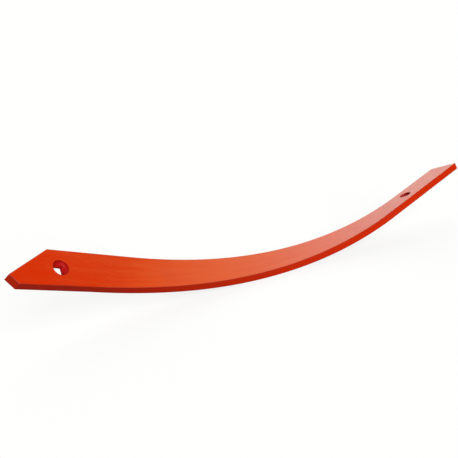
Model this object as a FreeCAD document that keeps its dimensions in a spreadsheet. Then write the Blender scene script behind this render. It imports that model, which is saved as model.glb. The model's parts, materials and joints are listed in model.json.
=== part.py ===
"""Mouldboard slat: one flat steel bar, bent once about a line skewed to its length.

The bar is bent to a constant radius between two flat ends. The hollow side is the
front, which the soil slides over. Each flat end has one countersunk square hole for
a plough bolt, sunk from the front. One end is cut to a point along the bend line,
with its tip clipped; the other end has a slight rake.

Directions on the bar: "along" runs from the pointed end to the raked end, "across"
runs from the far edge to the near edge, and "through" runs from the front to the back.
"""
import FreeCAD, Part

import math
import os

import Sketcher

os.makedirs("parts", exist_ok=True)
doc = FreeCAD.newDocument("mouldboard_slat")

# Driving dimensions, in millimetres and degrees
DIMENSIONS = [
    ("bar_width", 50.0, "width of the flat bar"),
    ("bar_thickness", 12.0, "thickness of the flat bar"),
    ("skew_angle", 35.0, "between the bar's length and the line it is bent about"),
    ("bend_radius", 260.0, "of the front face"),
    ("bend_angle", 72.5, "between the two flat ends"),
    ("pointed_length", 144.0, "of the flat pointed end, from its tip to the bend, on the middle line"),
    ("raked_length", 167.5, "of the flat raked end, from the bend to its near corner, along"),
    ("tip_offset", 13.0, "from the middle line to the tip of the pointed end, across"),
    ("tip_clip", 10.0, "length of the clipped corner beside the tip, along"),
    ("end_rake", 11.0, "how far the raked end's far corner falls short of its near corner"),
    ("point_hole_inset", 67.0, "from the point to the first hole, along"),
    ("rake_hole_inset", 127.0, "from the raked end to the second hole, along"),
    ("head_diameter", 21.0, "of the seat for each bolt's head"),
    ("head_recess", 2.5, "depth of the straight wall at the seat's mouth, above its cone"),
    ("head_angle", 60.0, "whole angle of the seat's cone"),
    ("neck_side", 13.0, "side of the square hole"),
    ("neck_corner", 1.5, "corner radius of the square hole"),
    ("edge_radius", 0.5, "rounding of the bar's edges"),
]
sheet = doc.addObject("Spreadsheet::Sheet", "Dimensions")
for row, (alias, value, meaning) in enumerate(DIMENSIONS, start=1):
    sheet.set(f"A{row}", meaning)
    sheet.set(f"B{row}", str(value))
    sheet.setAlias(f"B{row}", alias)
doc.recompute()

# The same sizes as numbers, for placing the sketches' first points
size = {alias: sheet.get(alias) for alias, value, meaning in DIMENSIONS}
half_width = size["bar_width"] / 2
skew = math.radians(size["skew_angle"])
bend_lead = half_width / math.tan(skew)
half_neck = size["neck_side"] / 2

# Expressions that several features share
HALF_WIDTH = "Dimensions.bar_width / 2"
HALF_NECK = "Dimensions.neck_side / 2"
BEND_LEAD = "Dimensions.bar_width / 2 / tan(Dimensions.skew_angle)"
BEND_RISE = "Dimensions.bend_radius * Dimensions.bend_angle * pi / 180 / tan(Dimensions.skew_angle)"
TURN_TO_BAR = "rotation(vector(0; 0; 1); 90 + Dimensions.skew_angle)"

# Where each flat end lies: its sketches are drawn on the front face, with x along, y across
# and the origin where the end of the bend crosses the middle line
POINTED_END = f"placement(vector(0; 0; Dimensions.bend_radius); {TURN_TO_BAR})"
RAKED_END = (
    "placement(vector(-Dimensions.bend_radius * sin(Dimensions.bend_angle); "
    f"{BEND_RISE}; Dimensions.bend_radius * cos(Dimensions.bend_angle)); "
    f"rotation(vector(0; 1; 0); -Dimensions.bend_angle) * {TURN_TO_BAR})"
)

# Where each hole lies: its sketches have their origin on the hole's axis
NO_TURN = "rotation(0; 0; 0)"
POINT_HOLE_ALONG = "Dimensions.point_hole_inset - Dimensions.pointed_length"
RAKE_HOLE_ALONG = "Dimensions.raked_length - Dimensions.rake_hole_inset"
POINT_HOLE = f"{POINTED_END} * placement(vector({POINT_HOLE_ALONG}; 0; 0); {NO_TURN})"
RAKE_HOLE = f"{RAKED_END} * placement(vector({RAKE_HOLE_ALONG}; 0; 0); {NO_TURN})"


ORIGIN = -1  # geometry number of a sketch's own origin and horizontal axis
START, END, CENTRE = 1, 2, 3  # a line's or arc's two ends, and a circle's centre


def origin_plane(body, role):
    """One of the body's own origin planes, such as XZ_Plane."""
    return next(feature for feature in body.Origin.OriginFeatures if feature.Role == role)


def new_sketch(body, name, role, offset=None):
    """A sketch on one of the body's origin planes, moved by the offset expression."""
    sketch = body.newObject("Sketcher::SketchObject", name)
    sketch.AttachmentSupport = [(origin_plane(body, role), "")]
    sketch.MapMode = "FlatFace"
    if offset:
        sketch.setExpression("AttachmentOffset", offset)
    return sketch


def draw_outline(sketch, corners):
    """Straight lines through the corners and back to the first, joined end to start."""
    count = len(corners)
    points = [FreeCAD.Vector(x, y, 0) for x, y in corners]
    for i in range(count):
        sketch.addGeometry(Part.LineSegment(points[i], points[(i + 1) % count]))
    for i in range(count):
        sketch.addConstraint(Sketcher.Constraint("Coincident", i, END, (i + 1) % count, START))


def set_distance(sketch, kind, first, second, name, expression):
    """Ties the distance from one point to another to an expression.

    Each point is a pair: the geometry's number and which of its points is meant. The second
    point lies further right or further up than the first, as the points are drawn.
    """
    gap = sketch.getPoint(*second) - sketch.getPoint(*first)
    drawn = gap.x if kind == "DistanceX" else gap.y
    index = sketch.addConstraint(Sketcher.Constraint(kind, *first, *second, drawn))
    sketch.renameConstraint(index, name)
    sketch.setExpression(f"Constraints.{name}", expression)


def draw_rounded_square(sketch, half_side, radius):
    """A square about the sketch's origin, its corners rounded by arcs."""
    inner = half_side - radius
    turns = [(1, 0), (0, 1), (-1, 0), (0, -1)]
    for x, y in turns:
        # The side faces away from (x, y) turned back by a right angle
        start = FreeCAD.Vector(y * half_side - x * inner, -x * half_side - y * inner, 0)
        end = FreeCAD.Vector(y * half_side + x * inner, -x * half_side + y * inner, 0)
        sketch.addGeometry(Part.LineSegment(start, end))
    for number, (x, y) in enumerate(turns):
        corner = FreeCAD.Vector((y + x) * inner, (y - x) * inner, 0)
        first_angle = (number - 1) * math.pi / 2
        circle = Part.Circle(corner, FreeCAD.Vector(0, 0, 1), radius)
        sketch.addGeometry(Part.ArcOfCircle(circle, first_angle, first_angle + math.pi / 2))
    for number in range(4):
        arc = number + 4
        sketch.addConstraint(Sketcher.Constraint("Tangent", number, END, arc, START))
        sketch.addConstraint(Sketcher.Constraint("Tangent", arc, END, (number + 1) % 4, START))
        direction = "Horizontal" if number % 2 == 0 else "Vertical"
        sketch.addConstraint(Sketcher.Constraint(direction, number))
    for arc in (5, 6, 7):
        sketch.addConstraint(Sketcher.Constraint("Equal", 4, arc))
    index = sketch.addConstraint(Sketcher.Constraint("Radius", 4, radius))
    sketch.renameConstraint(index, "corner")
    sketch.setExpression("Constraints.corner", "Dimensions.neck_corner")
    middle = (ORIGIN, START)
    set_distance(sketch, "DistanceY", (0, START), middle, "below", HALF_NECK)
    set_distance(sketch, "DistanceX", middle, (1, START), "right", HALF_NECK)
    set_distance(sketch, "DistanceY", middle, (2, START), "above", HALF_NECK)
    set_distance(sketch, "DistanceX", (3, START), middle, "left", HALF_NECK)


def corner_edges(shape):
    """Names of the edges where two faces meet at a corner, leaving out the smooth joins."""
    names = []
    for number, edge in enumerate(shape.Edges, start=1):
        middle = edge.valueAt((edge.FirstParameter + edge.LastParameter) / 2)
        first, second = [
            face.normalAt(*face.Surface.parameter(middle))
            for face in shape.ancestorsOfType(edge, Part.Face)
        ]
        if abs(first.dot(second)) < 0.5:
            names.append(f"Edge{number}")
    return names


def check(feature, grew, before):
    """The feature has added to the body, or taken from it, as it should."""
    change = feature.Shape.Volume - before
    if (change > 0) != grew:
        raise RuntimeError(f"{feature.Name} changed the volume by {change:.1f} mm3")
    return feature.Shape.Volume


slat = doc.addObject("PartDesign::Body", "slat")
slat.Label = "slat"

# The bend: the bar's section along a bend line, carried round the bend's axis. The section
# is longer than the bar is wide, because the bend line crosses the bar at a slant.
section = new_sketch(slat, "bend_section", "XZ_Plane")
front = size["bend_radius"]
back = front + size["bar_thickness"]
half_slant = half_width / math.sin(skew)
draw_outline(
    section,
    [(front, -half_slant), (back, -half_slant), (back, half_slant), (front, half_slant)],
)
section.addConstraint(Sketcher.Constraint("Horizontal", 0))
section.addConstraint(Sketcher.Constraint("Vertical", 1))
section.addConstraint(Sketcher.Constraint("Horizontal", 2))
section.addConstraint(Sketcher.Constraint("Symmetric", 3, START, 3, END, ORIGIN))
set_distance(
    section, "DistanceX", (ORIGIN, START), (0, START), "front_radius",
    "Dimensions.bend_radius",
)
set_distance(section, "DistanceX", (0, START), (0, END), "thickness", "Dimensions.bar_thickness")
set_distance(
    section, "DistanceY", (1, START), (1, END), "slant_width",
    "Dimensions.bar_width / sin(Dimensions.skew_angle)",
)

bend = slat.newObject("PartDesign::AdditiveHelix", "bend")
bend.Profile = section
bend.ReferenceAxis = (section, ["V_Axis"])
bend.Mode = "height-turns-angle"
bend.LeftHanded = True
bend.setExpression("Height", BEND_RISE)
bend.setExpression("Turns", "Dimensions.bend_angle / 360")
doc.recompute()
volume = check(bend, True, 0.0)

# The pointed end: its long cut runs along the bend line, and the tip's corner is clipped
tip = -size["pointed_length"]
cut_run = (half_width + size["tip_offset"]) / math.tan(skew)
pointed_outline = new_sketch(slat, "pointed_outline", "YZ_Plane", POINTED_END)
draw_outline(
    pointed_outline,
    [
        (bend_lead, -half_width),
        (-bend_lead, half_width),
        (tip + size["tip_clip"], half_width),
        (tip, size["tip_offset"]),
        (tip + cut_run, -half_width),
    ],
)
pointed_outline.addConstraint(Sketcher.Constraint("Horizontal", 1))
pointed_outline.addConstraint(Sketcher.Constraint("Horizontal", 4))
pointed_outline.addConstraint(Sketcher.Constraint("Parallel", 0, 3))
set_distance(pointed_outline, "DistanceX", (ORIGIN, START), (0, START), "far_lead", BEND_LEAD)
set_distance(pointed_outline, "DistanceX", (0, END), (ORIGIN, START), "near_lead", BEND_LEAD)
set_distance(pointed_outline, "DistanceY", (0, START), (ORIGIN, START), "far_side", HALF_WIDTH)
set_distance(pointed_outline, "DistanceY", (ORIGIN, START), (0, END), "near_side", HALF_WIDTH)
set_distance(
    pointed_outline, "DistanceX", (3, START), (ORIGIN, START), "tip_reach",
    "Dimensions.pointed_length",
)
set_distance(
    pointed_outline, "DistanceY", (ORIGIN, START), (3, START), "tip_across",
    "Dimensions.tip_offset",
)
set_distance(pointed_outline, "DistanceX", (3, START), (2, START), "clip_length", "Dimensions.tip_clip")

pointed_end = slat.newObject("PartDesign::Pad", "pointed_end")
pointed_end.Profile = pointed_outline
pointed_end.setExpression("Length", "Dimensions.bar_thickness")
doc.recompute()
volume = check(pointed_end, True, volume)

# The raked end: its end cut leans, so the near corner reaches furthest
raked_outline = new_sketch(slat, "raked_outline", "YZ_Plane", RAKED_END)
draw_outline(
    raked_outline,
    [
        (bend_lead, -half_width),
        (size["raked_length"] - size["end_rake"], -half_width),
        (size["raked_length"], half_width),
        (-bend_lead, half_width),
    ],
)
raked_outline.addConstraint(Sketcher.Constraint("Horizontal", 0))
raked_outline.addConstraint(Sketcher.Constraint("Horizontal", 2))
set_distance(raked_outline, "DistanceX", (ORIGIN, START), (0, START), "far_lead", BEND_LEAD)
set_distance(raked_outline, "DistanceX", (3, START), (ORIGIN, START), "near_lead", BEND_LEAD)
set_distance(raked_outline, "DistanceY", (0, START), (ORIGIN, START), "far_side", HALF_WIDTH)
set_distance(raked_outline, "DistanceY", (ORIGIN, START), (3, START), "near_side", HALF_WIDTH)
set_distance(
    raked_outline, "DistanceX", (ORIGIN, START), (2, START), "end_reach",
    "Dimensions.raked_length",
)
set_distance(raked_outline, "DistanceX", (1, START), (1, END), "rake", "Dimensions.end_rake")

raked_end = slat.newObject("PartDesign::Pad", "raked_end")
raked_end.Profile = raked_outline
raked_end.setExpression("Length", "Dimensions.bar_thickness")
doc.recompute()
volume = check(raked_end, True, volume)

# The rolled and cut edges are lightly rounded
edge_rounding = slat.newObject("PartDesign::Fillet", "edge_rounding")
edge_rounding.Base = (raked_end, corner_edges(raked_end.Shape))
edge_rounding.setExpression("Radius", "Dimensions.edge_radius")
doc.recompute()
volume = check(edge_rounding, False, volume)


def cut_bolt_hole(name, place, volume):
    """A square hole under a seat for the bolt's head, cut from the front about the origin.

    The seat starts as a straight wall and narrows in a cone, as the head of the bolt does.
    """
    centre = new_sketch(slat, f"{name}_centre", "YZ_Plane", place)
    centre.addGeometry(Part.Circle(FreeCAD.Vector(0, 0, 0), FreeCAD.Vector(0, 0, 1), half_neck))
    centre.addConstraint(Sketcher.Constraint("Coincident", 0, CENTRE, ORIGIN, START))
    index = centre.addConstraint(Sketcher.Constraint("Diameter", 0, 2 * half_neck))
    centre.renameConstraint(index, "drill")
    centre.setExpression("Constraints.drill", "Dimensions.neck_side")
    doc.recompute()

    seat = slat.newObject("PartDesign::Hole", f"{name}_seat")
    seat.Profile = centre
    seat.ThreadType = "None"
    seat.DepthType = "ThroughAll"
    seat.HoleCutType = "Counterdrill"
    seat.Reversed = True
    seat.setExpression("Diameter", "Dimensions.neck_side")
    seat.setExpression("HoleCutDiameter", "Dimensions.head_diameter")
    seat.setExpression("HoleCutDepth", "Dimensions.head_recess")
    seat.setExpression("HoleCutCountersinkAngle", "Dimensions.head_angle")
    doc.recompute()
    volume = check(seat, False, volume)

    square = new_sketch(slat, f"{name}_square", "YZ_Plane", place)
    draw_rounded_square(square, half_neck, size["neck_corner"])
    neck = slat.newObject("PartDesign::Pocket", f"{name}_neck")
    neck.Profile = square
    neck.Type = "ThroughAll"
    neck.Reversed = True
    doc.recompute()
    return check(neck, False, volume)


volume = cut_bolt_hole("point_hole", POINT_HOLE, volume)
volume = cut_bolt_hole("rake_hole", RAKE_HOLE, volume)

# The slat lies as it comes to rest: hollow side up on the belly of the bend, with the bend
# line level and the centre of mass straight below the bend's axis. X then runs along the
# bar where it touches the ground. The origin is below the middle, at the lowest point.
weight = slat.Shape.Solids[0].CenterOfMass
UP = FreeCAD.Vector(0, 0, 1)
lay_down = (
    FreeCAD.Rotation(UP, size["skew_angle"])
    * FreeCAD.Rotation(FreeCAD.Vector(0, 1, 0), 90)
    * FreeCAD.Rotation(UP, math.degrees(math.atan2(-weight.y, weight.x)))
)
slat.Placement = FreeCAD.Placement(FreeCAD.Vector(), lay_down)
extent = slat.Shape.optimalBoundingBox(False)
below_middle = FreeCAD.Vector(extent.Center.x, extent.Center.y, extent.ZMin)
slat.Placement = FreeCAD.Placement(-below_middle, lay_down)
doc.recompute()

for feature in doc.Objects:
    if "Invalid" in feature.State or "Error" in feature.State:
        raise RuntimeError(f"{feature.Name} failed: {feature.State}")
if slat.Shape.isNull() or not slat.Shape.isValid() or len(slat.Shape.Solids) != 1:
    raise RuntimeError("the slat is not one valid solid")
slat.Shape.exportStep(f"parts/{slat.Label}.step")
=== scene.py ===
# %% [markdown]
# # A mouldboard slat in orange-red enamel
# The slat is one flat steel bar, bent once about a slanting line and spray-painted. Its
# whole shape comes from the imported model, so this lesson is about what makes a picture of
# it: the camera, the studio round it, and the paint.

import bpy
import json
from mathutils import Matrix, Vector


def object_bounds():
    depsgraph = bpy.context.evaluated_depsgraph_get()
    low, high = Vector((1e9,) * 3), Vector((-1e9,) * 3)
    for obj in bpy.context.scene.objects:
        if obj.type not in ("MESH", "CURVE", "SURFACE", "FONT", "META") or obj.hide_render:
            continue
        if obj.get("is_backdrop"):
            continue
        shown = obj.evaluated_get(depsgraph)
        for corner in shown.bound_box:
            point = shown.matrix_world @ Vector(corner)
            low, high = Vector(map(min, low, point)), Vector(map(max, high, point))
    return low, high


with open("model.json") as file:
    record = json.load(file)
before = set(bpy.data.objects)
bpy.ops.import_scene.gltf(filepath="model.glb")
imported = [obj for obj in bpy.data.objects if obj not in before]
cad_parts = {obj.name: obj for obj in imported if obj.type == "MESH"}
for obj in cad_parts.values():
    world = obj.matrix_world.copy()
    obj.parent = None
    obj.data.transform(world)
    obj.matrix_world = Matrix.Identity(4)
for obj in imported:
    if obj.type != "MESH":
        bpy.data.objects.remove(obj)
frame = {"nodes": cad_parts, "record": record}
print("nodes of the model:", list(frame["nodes"]))

# %% [markdown]
# The model's box is kept before anything is added, so that the finished scene can be set
# against it at the end. Lengths are in metres, and a size that a workshop gives in
# millimetres is written as so many times MM.

# %% Keep the model's box
import json
import math

import bpy
from mathutils import Matrix, Quaternion, Vector

MM = 0.001
cad_box = [list(corner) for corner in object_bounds()]
slat = frame["nodes"]["slat"]
print("slat:", [round((high - low) / MM, 1) for low, high in zip(*cad_box)], "mm")

# %% [markdown]
# The camera looks along the hollow side from the pointed end, a little above it. It could
# be given as a place and a point to look at. Here it is given as a photographer would say
# it: which way it faces, how far down it looks, how far away it stands and how much it
# leans, because each of these can then be changed without touching the others.

# %% Camera
FACING = math.radians(37.036)  # from +Y towards +X
LOOKING_DOWN = math.radians(25.248)
LEANING = math.radians(5.024)
DISTANCE = 0.8247
AIM = Vector((-0.1076, 0.0, 0.0880))
LENS, SENSOR_WIDTH = 44.63, 36.0  # millimetres, as cameras give them

forward = Vector((
    math.sin(FACING) * math.cos(LOOKING_DOWN),
    math.cos(FACING) * math.cos(LOOKING_DOWN),
    -math.sin(LOOKING_DOWN),
))
camera_data = bpy.data.cameras.new("camera")
camera_data.sensor_width = SENSOR_WIDTH
camera_data.lens = LENS
camera = bpy.data.objects.new("camera", camera_data)
bpy.context.scene.collection.objects.link(camera)
camera.rotation_mode = "QUATERNION"
camera.location = AIM - forward * DISTANCE
camera.rotation_quaternion = forward.to_track_quat("-Z", "Y") @ Quaternion((0, 0, 1), LEANING)
bpy.context.scene.camera = camera
bpy.context.scene.view_settings.view_transform = "Standard"
print("camera at", [round(value, 3) for value in camera.location])

# %% [markdown]
# Every material and the world are trees of nodes. One helper adds a node, sets it up and
# links its inputs, so that each node below is one statement. Colours are written as the
# hex values that a paint chart gives, and a second helper turns them into the linear
# values that light is reckoned in.

# %% Helpers for nodes and colours
def add_node(tree, kind, inputs=None, **settings):
    """Adds a node. An input is a number, a colour, an output, or a node that stands for its
    first output in use."""
    node = tree.nodes.new(kind)
    for name, value in settings.items():
        setattr(node, name, value)
    for name, value in (inputs or {}).items():
        if isinstance(value, bpy.types.Node):
            value = next(output for output in value.outputs if output.enabled)
        if isinstance(value, bpy.types.NodeSocket):
            tree.links.new(value, node.inputs[name])
        else:
            node.inputs[name].default_value = value
    return node


def colour(hex_value):
    """The linear RGBA of an sRGB hex colour such as "#D53605"."""
    parts = [int(hex_value[i:i + 2], 16) / 255 for i in (1, 3, 5)]
    linear = [p / 12.92 if p <= 0.04045 else ((p + 0.055) / 1.055) ** 2.4 for p in parts]
    return (*linear, 1.0)


def empty_tree(owner):
    """The node tree of a material or a world, with nothing in it yet."""
    owner.use_nodes = True
    owner.node_tree.nodes.clear()
    return owner.node_tree


print("a mid grey of #808080 is", round(colour("#808080")[0], 3), "in linear light")

# %% [markdown]
# The studio is a white sweep behind the slat, seen from the camera, in a room that is dim
# everywhere else. It could be built from panels and lamps. The world does it with fewer
# parts: one gradient, white about the middle of the sweep and falling off round it. So
# the paint is pale where it mirrors the sweep and deep where it mirrors the room. The
# sweep's edge is yellow, as the rim of a lamp's warm beam is, and keeps the paint orange
# rather than pink where the sheen sets in. The camera itself always sees plain white.

# %% World
WHITE = colour("#FFFFFF")
SWEEP = (math.sin(FACING), math.cos(FACING), 0.0)  # level, the way that the camera faces
SWEEP_STRENGTH = 1.4
STOPS = [  # how squarely a ray meets the sweep, from 0 to 1, and what it finds there
    (0.56, "#241E10"),  # the dim room
    (0.66, "#D8E278"),  # the sweep's yellow edge
    (0.83, "#DCF6B2"),
    (0.98, "#FFFFF2"),  # its middle
]

world = bpy.data.worlds.new("white_sweep")
bpy.context.scene.world = world
tree = empty_tree(world)
ray = add_node(tree, "ShaderNodeLightPath")
seen = add_node(tree, "ShaderNodeMath", {
    0: ray.outputs["Is Camera Ray"], 1: ray.outputs["Is Transmission Ray"],
}, operation="MAXIMUM")
direction = add_node(tree, "ShaderNodeTexCoord").outputs["Generated"]
towards = add_node(tree, "ShaderNodeVectorMath", {
    0: direction, 1: SWEEP,
}, operation="DOT_PRODUCT")
sweep = add_node(tree, "ShaderNodeValToRGB", {"Fac": towards})
stops = sweep.color_ramp.elements
for position, hex_value in STOPS:
    stops.new(position).color = colour(hex_value)
stops.remove(stops[-1])  # a new ramp has two stops of its own, one at each end
stops.remove(stops[0])
room = add_node(tree, "ShaderNodeBackground", {"Color": sweep, "Strength": SWEEP_STRENGTH})
white = add_node(tree, "ShaderNodeBackground", {"Color": WHITE, "Strength": 1.0})
mixed = add_node(tree, "ShaderNodeMixShader", {0: seen, 1: room, 2: white})
add_node(tree, "ShaderNodeOutputWorld", {"Surface": mixed})
print("the sweep's stops:", [round(stop.position, 2) for stop in stops])

# %% [markdown]
# The floor is pale paper. Plain white paper would throw so much light up that the slat's
# under side lost its depth, so it is mid grey to the light and near white to the eye.
# Part of it glows for the camera, which leaves the slat's shadow soft and light. What the
# paint mirrors of it is darker, like paper in the slat's own shadow, so the sides keep
# their deep red. Only where the paper runs up into the sweep does it glow in the paint.

# %% Floor
FLOOR_SIDE = 40.0
LIT_PAPER, MIRRORED_PAPER = "#707070", "#322E44"
GLOW = 0.80  # the share of glow in what the camera sees
RISE_STARTS, RISE_ENDS = 0.35, 1.4  # metres behind the slat's middle

bpy.ops.object.select_all(action="DESELECT")
bpy.ops.mesh.primitive_plane_add(size=FLOOR_SIDE, location=(0.0, 0.0, 0.0))
floor = bpy.context.object
floor.name = "floor"
floor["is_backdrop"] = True
paper = bpy.data.materials.new("floor_paper")
floor.data.materials.append(paper)
tree = empty_tree(paper)
ray = add_node(tree, "ShaderNodeLightPath")
seen = add_node(tree, "ShaderNodeMath", {
    0: ray.outputs["Is Camera Ray"], 1: ray.outputs["Is Transmission Ray"],
}, operation="MAXIMUM")
behind = add_node(tree, "ShaderNodeVectorMath", {
    0: add_node(tree, "ShaderNodeTexCoord").outputs["Object"], 1: SWEEP,
}, operation="DOT_PRODUCT")
rising = add_node(tree, "ShaderNodeMapRange", {
    "Value": behind, "From Min": RISE_STARTS, "From Max": RISE_ENDS,
}, interpolation_type="SMOOTHSTEP")
mirrored = add_node(tree, "ShaderNodeMath", {
    0: ray.outputs["Is Glossy Ray"], 1: rising,
}, operation="MULTIPLY")
glow = add_node(tree, "ShaderNodeMath", {0: seen, 1: GLOW, 2: mirrored}, operation="MULTIPLY_ADD")
unseen = add_node(tree, "ShaderNodeMix", {
    0: ray.outputs["Is Glossy Ray"], 6: colour(LIT_PAPER), 7: colour(MIRRORED_PAPER),
}, data_type="RGBA")
shade = add_node(tree, "ShaderNodeMix", {0: seen, 6: unseen, 7: WHITE}, data_type="RGBA")
matt = add_node(tree, "ShaderNodeBsdfDiffuse", {"Color": shade})
lit = add_node(tree, "ShaderNodeEmission", {"Color": WHITE, "Strength": 1.0})
mixed = add_node(tree, "ShaderNodeMixShader", {0: glow, 1: matt, 2: lit})
add_node(tree, "ShaderNodeOutputMaterial", {"Surface": mixed})
print("floor:", [round(length, 1) for length in floor.dimensions], "m")

# %% [markdown]
# Two wide, soft lights shape the slat, one from the front and a weaker one from behind.
# Area lamps near it would do that too, but their light falls off with distance, so one end
# of so long a part would come out darker. A sun lamp with a wide disc lights both ends
# alike. The front one stands 40 degrees up, where no face of the slat mirrors it into the
# camera.

# %% Soft lights
LIGHT_DISTANCE = 2.0  # only for whoever opens the scene: a sun lights alike from any place


def soft_light(name, towards, strength, spread):
    """A wide, distant light that shines from the direction "towards". Strength 1 lights a
    surface that faces it so that its colour renders as written."""
    data = bpy.data.lights.new(name, "SUN")
    data.energy = strength * math.pi
    data.angle = math.radians(spread)
    light = bpy.data.objects.new(name, data)
    bpy.context.scene.collection.objects.link(light)
    light.location = Vector(towards).normalized() * LIGHT_DISTANCE
    light.rotation_mode = "QUATERNION"
    light.rotation_quaternion = (-Vector(towards)).to_track_quat("-Z", "Y")
    return light


lights = [
    soft_light("front_softbox", towards=(-0.05, -0.76, 0.64), strength=0.88, spread=55.0),
    soft_light("back_softbox", towards=(-0.25, 0.65, 0.70), strength=0.38, spread=65.0),
]
print("lights:", [(light.name, round(light.data.energy, 2)) for light in lights])

# %% [markdown]
# Most of the marks on the slat belong to the flat bar that it was bent from: the rolled
# surface runs along the bar, and the edges and the cut ends lie where they lay before the
# bend. A pattern could follow them through an unwrapped mesh, but this mesh is the model's
# and is left as it is. So every point is laid flat by a sum. A point in the bend goes by
# its turn about the bend's axis, and a point on a flat end by its distance past the bend.
# The two bolt holes, which the record gives, fix that axis: both open square to their flat
# end, and both lie on the bar's middle line.

# %% The bend's axis
BEND_RADIUS = 260 * MM  # of the front, hollow face
BAR_THICKNESS = 12 * MM
UP = Vector((0.0, 0.0, 1.0))

mounts = {mount["name"]: mount for mount in frame["record"]["mounts"]}
holes = [mounts[name] for name in ("point_bolt_hole", "rake_bolt_hole")]
point_hole, rake_hole = [Vector(hole["pos_m"]) for hole in holes]
opens = [Vector(hole["axis"]) for hole in holes]
bend_axis = opens[1].cross(opens[0]).normalized()
over_bend = bend_axis.cross(UP)  # level, from the pointed end to the raked end
turns = [math.atan2(-normal.dot(over_bend), normal.dot(UP)) for normal in opens]

# The bend's back touches the floor, and the point hole's face is one radius from the axis
centre_height = BEND_RADIUS + BAR_THICKNESS
centre_over = (
    BEND_RADIUS + point_hole.dot(opens[0]) - centre_height * opens[0].z
) / over_bend.dot(opens[0])
centre = over_bend * centre_over + UP * centre_height
print("the bend turns", round(math.degrees(turns[1] - turns[0]), 1), "degrees about",
      [round(value, 3) for value in bend_axis])

# %% [markdown]
# Laid flat, the two holes give the bar's direction, which slants across the bend's axis.
# It is worked out here once, in plain numbers, and the nodes below repeat the same sum for
# every point that is rendered.

# %% The bar's direction on the flat
axes = Matrix((over_bend, -UP, bend_axis))  # its rows: across the bend, down, along the bend


def laid_flat(point):
    """Where a point of the front face lies on the flat bar: across the bend, along it."""
    over, down, along = axes @ (point - centre)
    turn = min(max(math.atan2(over, down), turns[0]), turns[1])
    return Vector((BEND_RADIUS * turn + over * math.cos(turn) - down * math.sin(turn), along))


point_flat = laid_flat(point_hole)
between = laid_flat(rake_hole) - point_flat
slant = math.atan2(between.y, between.x)
print("holes:", round(between.length / MM, 1), "mm apart, slant",
      round(math.degrees(slant), 1), "degrees")

# %% [markdown]
# A Mapping node of the texture type gives a point's place as seen from another frame. It
# is used twice: at first from the bend's axis, and at the end from the point hole, with X
# along the bar and Y from its middle line to the far edge. In between, the point is turned
# back about the axis. Its depth below the front face comes out on the way.

# %% Nodes that lay the bar flat
enamel = bpy.data.materials.new("sprayed_enamel_orange_red")
tree = empty_tree(enamel)
place = add_node(tree, "ShaderNodeTexCoord").outputs["Object"]
from_axis = add_node(tree, "ShaderNodeMapping", {
    "Vector": place, "Location": centre, "Rotation": axes.transposed().to_euler(),
}, vector_type="TEXTURE")
bent = add_node(tree, "ShaderNodeSeparateXYZ", {0: from_axis})
angle = add_node(tree, "ShaderNodeMath", {
    0: bent.outputs["X"], 1: bent.outputs["Y"],
}, operation="ARCTAN2")
turn = add_node(tree, "ShaderNodeClamp", {"Value": angle, "Min": turns[0], "Max": turns[1]})
turned_back = add_node(tree, "ShaderNodeVectorRotate", {
    "Vector": from_axis, "Angle": turn,
}, rotation_type="Z_AXIS")
straight = add_node(tree, "ShaderNodeSeparateXYZ", {0: turned_back})
across_bend = add_node(tree, "ShaderNodeMath", {
    0: turn, 1: BEND_RADIUS, 2: straight.outputs["X"],
}, operation="MULTIPLY_ADD")
depth = add_node(tree, "ShaderNodeMath", {
    0: straight.outputs["Y"], 1: BEND_RADIUS,
}, operation="SUBTRACT")
spread_out = add_node(tree, "ShaderNodeCombineXYZ", {
    "X": across_bend, "Y": straight.outputs["Z"],
})
flat = add_node(tree, "ShaderNodeMapping", {
    "Vector": spread_out, "Location": (*point_flat, 0.0), "Rotation": (0.0, 0.0, slant),
}, vector_type="TEXTURE")
print("nodes so far:", len(tree.nodes))

# %% [markdown]
# The slat is mild steel under one coat of sprayed alkyd enamel. What the eye sees is what
# the spray left: a colour and a gloss that drift a little where the coat is thicker, in
# clouds about as wide as one pass of the gun. An even colour would be simpler, but it
# looks like plastic.

# %% Clouds of coat thickness
CLOUD = 45 * MM
THIN_COAT, THICK_COAT = "#DA2A00", "#E12F00"
THIN_ROUGHNESS, THICK_ROUGHNESS = 0.26, 0.18
NOISE_LOW, NOISE_HIGH = 0.3, 0.7  # between which most of a noise lies

coat = add_node(tree, "ShaderNodeTexNoise", {
    "Vector": place, "Scale": 1 / CLOUD, "Detail": 2.0, "Roughness": 0.5,
})
tone = add_node(tree, "ShaderNodeMix", {
    0: coat, 6: colour(THIN_COAT), 7: colour(THICK_COAT),
}, data_type="RGBA")
coat_roughness = add_node(tree, "ShaderNodeMapRange", {
    "Value": coat, "From Min": NOISE_LOW, "From Max": NOISE_HIGH,
    "To Min": THIN_ROUGHNESS, "To Max": THICK_ROUGHNESS,
})
print("clouds", round(CLOUD / MM), "mm wide")

# %% [markdown]
# The gun reaches the walls of a bolt hole only at a slant. So they carry a thin, dry coat,
# which is duller than the face round them. They are also given a deeper red, which is painted
# shade for a recess that little light reaches. They could have a material of their own, but
# the walls and the faces are one mesh here. On the flat bar, the walls are what lies within
# the seat's radius of a hole's middle, and below the front face and above the back.

# %% Walls of the bolt holes
SEAT_RADIUS = 10.5 * MM
JUST_OUTSIDE = 0.1 * MM
WALL_STARTS, WALL_DRY_AND_SHADED = 0.1 * MM, 0.7 * MM  # from the nearer face
# painted shade: the deeper red of the hole walls
HOLE_WALL_SHADE = "#C40400"

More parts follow.
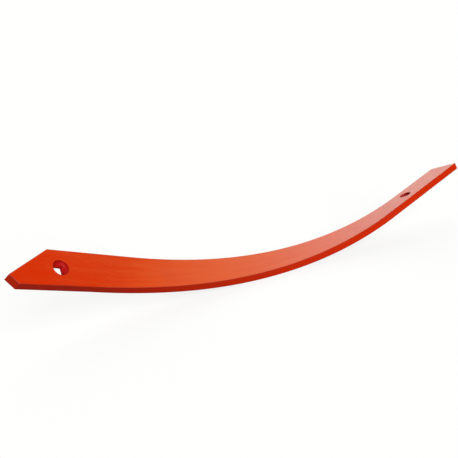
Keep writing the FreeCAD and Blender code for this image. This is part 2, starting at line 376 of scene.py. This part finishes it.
to_point_hole = add_node(tree, "ShaderNodeVectorMath", {0: flat}, operation="LENGTH")
to_rake_hole = add_node(tree, "ShaderNodeVectorMath", {
    0: flat, 1: (between.length, 0.0, 0.0),
}, operation="DISTANCE")
to_hole = add_node(tree, "ShaderNodeMath", {0: to_point_hole, 1: to_rake_hole}, operation="MINIMUM")
in_seat = add_node(tree, "ShaderNodeMath", {
    0: to_hole, 1: SEAT_RADIUS + JUST_OUTSIDE,
}, operation="LESS_THAN")
from_face = add_node(tree, "ShaderNodeMath", {
    0: depth, 1: BAR_THICKNESS / 2,
}, operation="PINGPONG")  # 0 at either face, greatest half way between them
below_face = add_node(tree, "ShaderNodeMapRange", {
    "Value": from_face, "From Min": WALL_STARTS, "From Max": WALL_DRY_AND_SHADED,
})
# one mask for the hole walls: painted shade in the colour, a dry, dull coat in the roughness
dry_and_shaded_walls = add_node(tree, "ShaderNodeMath", {0: in_seat, 1: below_face}, operation="MULTIPLY")
tone_with_hole_shade = add_node(tree, "ShaderNodeMix", {
    0: dry_and_shaded_walls, 6: tone, 7: colour(HOLE_WALL_SHADE),
}, data_type="RGBA")
print("hole walls within", round(SEAT_RADIUS / MM, 1), "mm of a hole's middle")

# %% [markdown]
# The finish along the edges needs to know where the edges are. They could be looked up in
# the mesh, but on the flat bar they are simple: an outline of five sides, whose corners
# are placed from the two holes. The long cut of the pointed end runs along the bend's
# axis, and the other end has a slight rake.

# %% Outline of the flat bar
HALF_WIDTH = 25 * MM
TIP_REACH, END_REACH = 67 * MM, 127 * MM  # how far each end goes past its hole
TIP_OFFSET = 13 * MM  # from the middle line to the tip
TIP_CLIP = 10 * MM  # length of the clipped corner beside the tip
END_RAKE = 11 * MM  # how far the other end's far corner falls short of its near one

tip = -TIP_REACH
end = between.length + END_REACH
long_cut = (HALF_WIDTH + TIP_OFFSET) * math.tan(slant)
outline = [Vector((x, y, 0.0)) for x, y in (
    (tip, -TIP_OFFSET),
    (tip + TIP_CLIP, -HALF_WIDTH),
    (end, -HALF_WIDTH),
    (end - END_RAKE, HALF_WIDTH),
    (tip + long_cut, HALF_WIDTH),
)]
print("flat bar:", round((end - tip) / MM, 1), "x", round(2 * HALF_WIDTH / MM, 1), "mm")

# %% [markdown]
# Wet paint draws back from a sharp edge and leaves it thin, so the dark steel shows through
# in a fine, dull line. A point is near an edge when it is near the outline and near a face
# too. The distance to the outline is the least of the distances to its sides. The real line
# is some tenths of a millimetre wide, too fine to show from here, so it is drawn as wide as
# a millimetre.

# %% Thin paint along the edges
EDGE_LINE, EDGE_CORE = 1.0 * MM, 0.25 * MM
to_outline = 1.0  # metres, farther than any side
for corner, following in zip(outline, outline[1:] + outline[:1]):
    side = following - corner
    inwards = Vector((-side.y, side.x, 0.0)).normalized()
    reach = add_node(tree, "ShaderNodeVectorMath", {0: flat, 1: inwards}, operation="DOT_PRODUCT")
    gap = add_node(tree, "ShaderNodeMath", {
        0: reach, 1: corner.dot(inwards),
    }, operation="SUBTRACT")
    to_outline = add_node(tree, "ShaderNodeMath", {0: to_outline, 1: gap}, operation="MINIMUM")
to_edge = add_node(tree, "ShaderNodeMath", {0: to_outline, 1: from_face}, operation="ADD")
thin = add_node(tree, "ShaderNodeMapRange", {
    "Value": to_edge, "From Min": EDGE_CORE, "From Max": EDGE_LINE,
    "To Min": 1.0, "To Max": 0.0,
}, interpolation_type="SMOOTHSTEP")
print("edge line", round(EDGE_LINE / MM, 1), "mm wide on", len(outline), "sides")

# %% [markdown]
# The two masks now set the colour and the roughness. Sprayed gloss enamel has a roughness
# of about 0.2, and thin or dry paint twice that.

# %% Colour and roughness
STEEL_THROUGH_PAINT = "#641B0A"
STEEL_SHOWS = 0.45  # how much of it, where the paint is thinnest
DULL_ROUGHNESS = 0.45

showing = add_node(tree, "ShaderNodeMath", {0: thin, 1: STEEL_SHOWS}, operation="MULTIPLY")
painted = add_node(tree, "ShaderNodeMix", {
    0: showing, 6: tone_with_hole_shade, 7: colour(STEEL_THROUGH_PAINT),
}, data_type="RGBA")
dull = add_node(tree, "ShaderNodeMath", {0: dry_and_shaded_walls, 1: thin}, operation="MAXIMUM")
roughness = add_node(tree, "ShaderNodeMapRange", {
    "Value": dull, "To Min": coat_roughness, "To Max": DULL_ROUGHNESS,
})
print("nodes so far:", len(tree.nodes))

# %% [markdown]
# Gloss paint is never flat. Two kinds of unevenness cover the whole slat: orange peel,
# which is how sprayed drops run together, and the long, low waves that the rolling mill
# left on the bar. Both are a noise. The peel's is even all round. The waves' is stretched
# along the flat bar, ten times as long as wide, so that it follows the bend.

# %% Orange peel and rolled waves
PEEL, PEEL_DEPTH = 3.5 * MM, 0.12 * MM
WAVE_LENGTH, WAVE_WIDTH, WAVE_DEPTH = 110 * MM, 11 * MM, 0.3 * MM
peel = add_node(tree, "ShaderNodeTexNoise", {
    "Vector": place, "Scale": 1 / PEEL, "Detail": 1.0, "Roughness": 0.5,
})
rolled = add_node(tree, "ShaderNodeMapping", {
    "Vector": flat, "Scale": (1 / WAVE_LENGTH, 1 / WAVE_WIDTH, 1.0),
})
waves = add_node(tree, "ShaderNodeTexNoise", {
    "Vector": rolled, "Scale": 1.0, "Detail": 1.0, "Roughness": 0.4,
})
print("peel", round(PEEL / MM, 1), "mm, waves", round(WAVE_LENGTH / MM), "mm long")

# %% [markdown]
# A nib is a speck of dust that settled in the wet paint. A Voronoi texture scatters them,
# because its distance is nothing at the middle of each cell. A real nib is about half a
# millimetre wide, too fine to show from here, so it is drawn twice as coarse.

# %% Dust nibs
NIB, NIB_SPACING, NIB_HEIGHT = 1.1 * MM, 26 * MM, 0.08 * MM
dust = add_node(tree, "ShaderNodeTexVoronoi", {"Vector": place, "Scale": 1 / NIB_SPACING})
nibs = add_node(tree, "ShaderNodeMapRange", {
    "Value": dust, "From Min": 0.0, "From Max": NIB / 2 / NIB_SPACING,
    "To Min": 1.0, "To Max": 0.0,
}, interpolation_type="SMOOTHSTEP")
print("nibs", round(NIB / MM, 1), "mm wide, about", round(NIB_SPACING / MM), "mm apart")

# %% [markdown]
# The ends are cut across the rolled bar, and the cut leaves fine lines that run through its
# thickness and stay visible under one coat. A face is a cut one where its normal leans well
# towards the bar's length, more than the bent faces ever do. The lines are a noise of one
# dimension along the bend's axis, because that axis is square to the thickness at both
# ends.

# %% Cut lines on the ends
CUT_LINE, CUT_DEPTH = 1.5 * MM, 0.25 * MM
LEAST_LEAN, FULL_LEAN = 0.42, 0.50  # how far a cut face's normal points along X, out of 1

normal = add_node(tree, "ShaderNodeSeparateXYZ", {
    0: add_node(tree, "ShaderNodeNewGeometry").outputs["Normal"],
})
lean = add_node(tree, "ShaderNodeMath", {0: normal.outputs["X"]}, operation="ABSOLUTE")
cut_face = add_node(tree, "ShaderNodeMapRange", {
    "Value": lean, "From Min": LEAST_LEAN, "From Max": FULL_LEAN,
})
lines = add_node(tree, "ShaderNodeTexNoise", {
    "W": straight.outputs["Z"], "Scale": 1 / CUT_LINE, "Detail": 2.0,
}, noise_dimensions="1D")
cut_lines = add_node(tree, "ShaderNodeMath", {0: lines, 1: cut_face}, operation="MULTIPLY")
print("cut lines", round(CUT_LINE / MM, 1), "mm apart; the bent faces lean",
      round(max(abs(axis.x) for axis in opens), 2), "at most")

# %% [markdown]
# All the unevenness is added up as heights in metres, and one bump takes the sum. Several
# bumps in a row would do it too, but then no depth could be compared with another.

# %% Sum of the heights
height = 0.0
for texture, relief in (
    (peel, PEEL_DEPTH), (waves, WAVE_DEPTH), (nibs, NIB_HEIGHT), (cut_lines, CUT_DEPTH),
):
    height = add_node(tree, "ShaderNodeMath", {
        0: texture, 1: relief, 2: height,
    }, operation="MULTIPLY_ADD")
    print("relief up to", round(relief / MM, 2), "mm")
surface = add_node(tree, "ShaderNodeBump", {"Height": height, "Strength": 1.0, "Distance": 1.0})

# %% [markdown]
# Enamel is a clear resin with pigment in it. One Principled shader with the resin's index
# of refraction gives both layers: colour from the pigment, and a colourless reflection on
# top that grows pale where the bar runs away from the eye. Alkyd resin has an index of
# 1.50 to 1.55, and the pale end of the slat asks for the higher value.

# %% Paint the slat
paint = add_node(tree, "ShaderNodeBsdfPrincipled", {
    "Base Color": painted, "Roughness": roughness, "IOR": 1.55, "Normal": surface,
})
add_node(tree, "ShaderNodeOutputMaterial", {"Surface": paint})
for slot in slat.material_slots:
    slot.material = enamel
print("painted", slat.name, "with", enamel.name, "from", len(tree.nodes), "nodes")

# %% [markdown]
# At the end, the box of everything but the stage is measured again and compared with the
# model's own box, because paint must not change a size.

# %% Sizes and finish
final_box = [list(corner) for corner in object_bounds()]
changes = [
    abs(after - before)
    for cad_corner, final_corner in zip(cad_box, final_box)
    for before, after in zip(cad_corner, final_corner)
]
print("the two boxes differ by", round(max(changes) / MM, 3), "mm at most")
